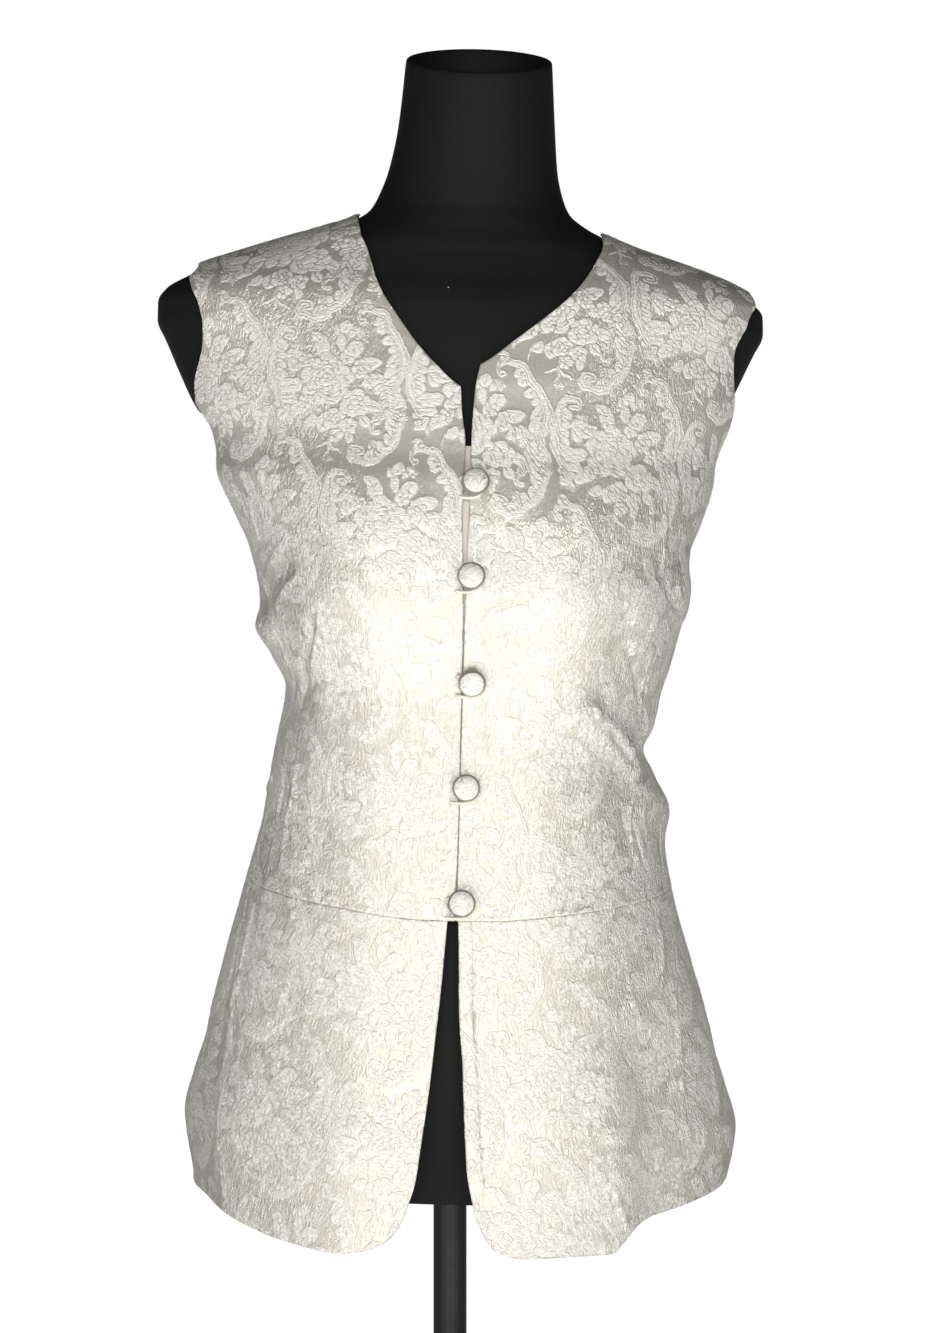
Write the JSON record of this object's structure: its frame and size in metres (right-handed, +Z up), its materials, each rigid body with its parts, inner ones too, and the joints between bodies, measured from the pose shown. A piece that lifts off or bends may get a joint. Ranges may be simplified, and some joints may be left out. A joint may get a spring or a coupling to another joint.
{
  "type": "peplum waistcoat on a dress form with stand",
  "caption": "Sleeveless fitted waistcoat with a V neck, button and loop closure and a separate flared peplum, on a limbless dress form with a pole and round base.",
  "frame": {"origin": "centre of the underside of the round base, on the floor", "axes": "+Z up, the front of the waistcoat faces -Y, +X is the wearer's left"},
  "size_m": [0.4017, 0.3047, 0.9392],
  "materials": {
    "ivory_silk_jacquard": "satin",
    "black_form_shell": "matte",
    "black_painted_steel": "semi-gloss"
  },
  "bodies": {
    "root": {"back": "ivory_silk_jacquard", "base_plate": "black_painted_steel", "button_1": "ivory_silk_jacquard", "button_2": "ivory_silk_jacquard", "button_3": "ivory_silk_jacquard", "button_4": "ivory_silk_jacquard", "button_5": "ivory_silk_jacquard", "form_flange": "black_painted_steel", "form_torso": "black_form_shell", "front_left": "ivory_silk_jacquard", "front_right": "ivory_silk_jacquard", "loop_1": "ivory_silk_jacquard", "loop_2": "ivory_silk_jacquard", "loop_3": "ivory_silk_jacquard", "loop_4": "ivory_silk_jacquard", "loop_5": "ivory_silk_jacquard", "peplum_back": "ivory_silk_jacquard", "peplum_left": "ivory_silk_jacquard", "peplum_right": "ivory_silk_jacquard", "pole": "black_painted_steel", "underlap": "ivory_silk_jacquard"}
  },
  "joints": []
}
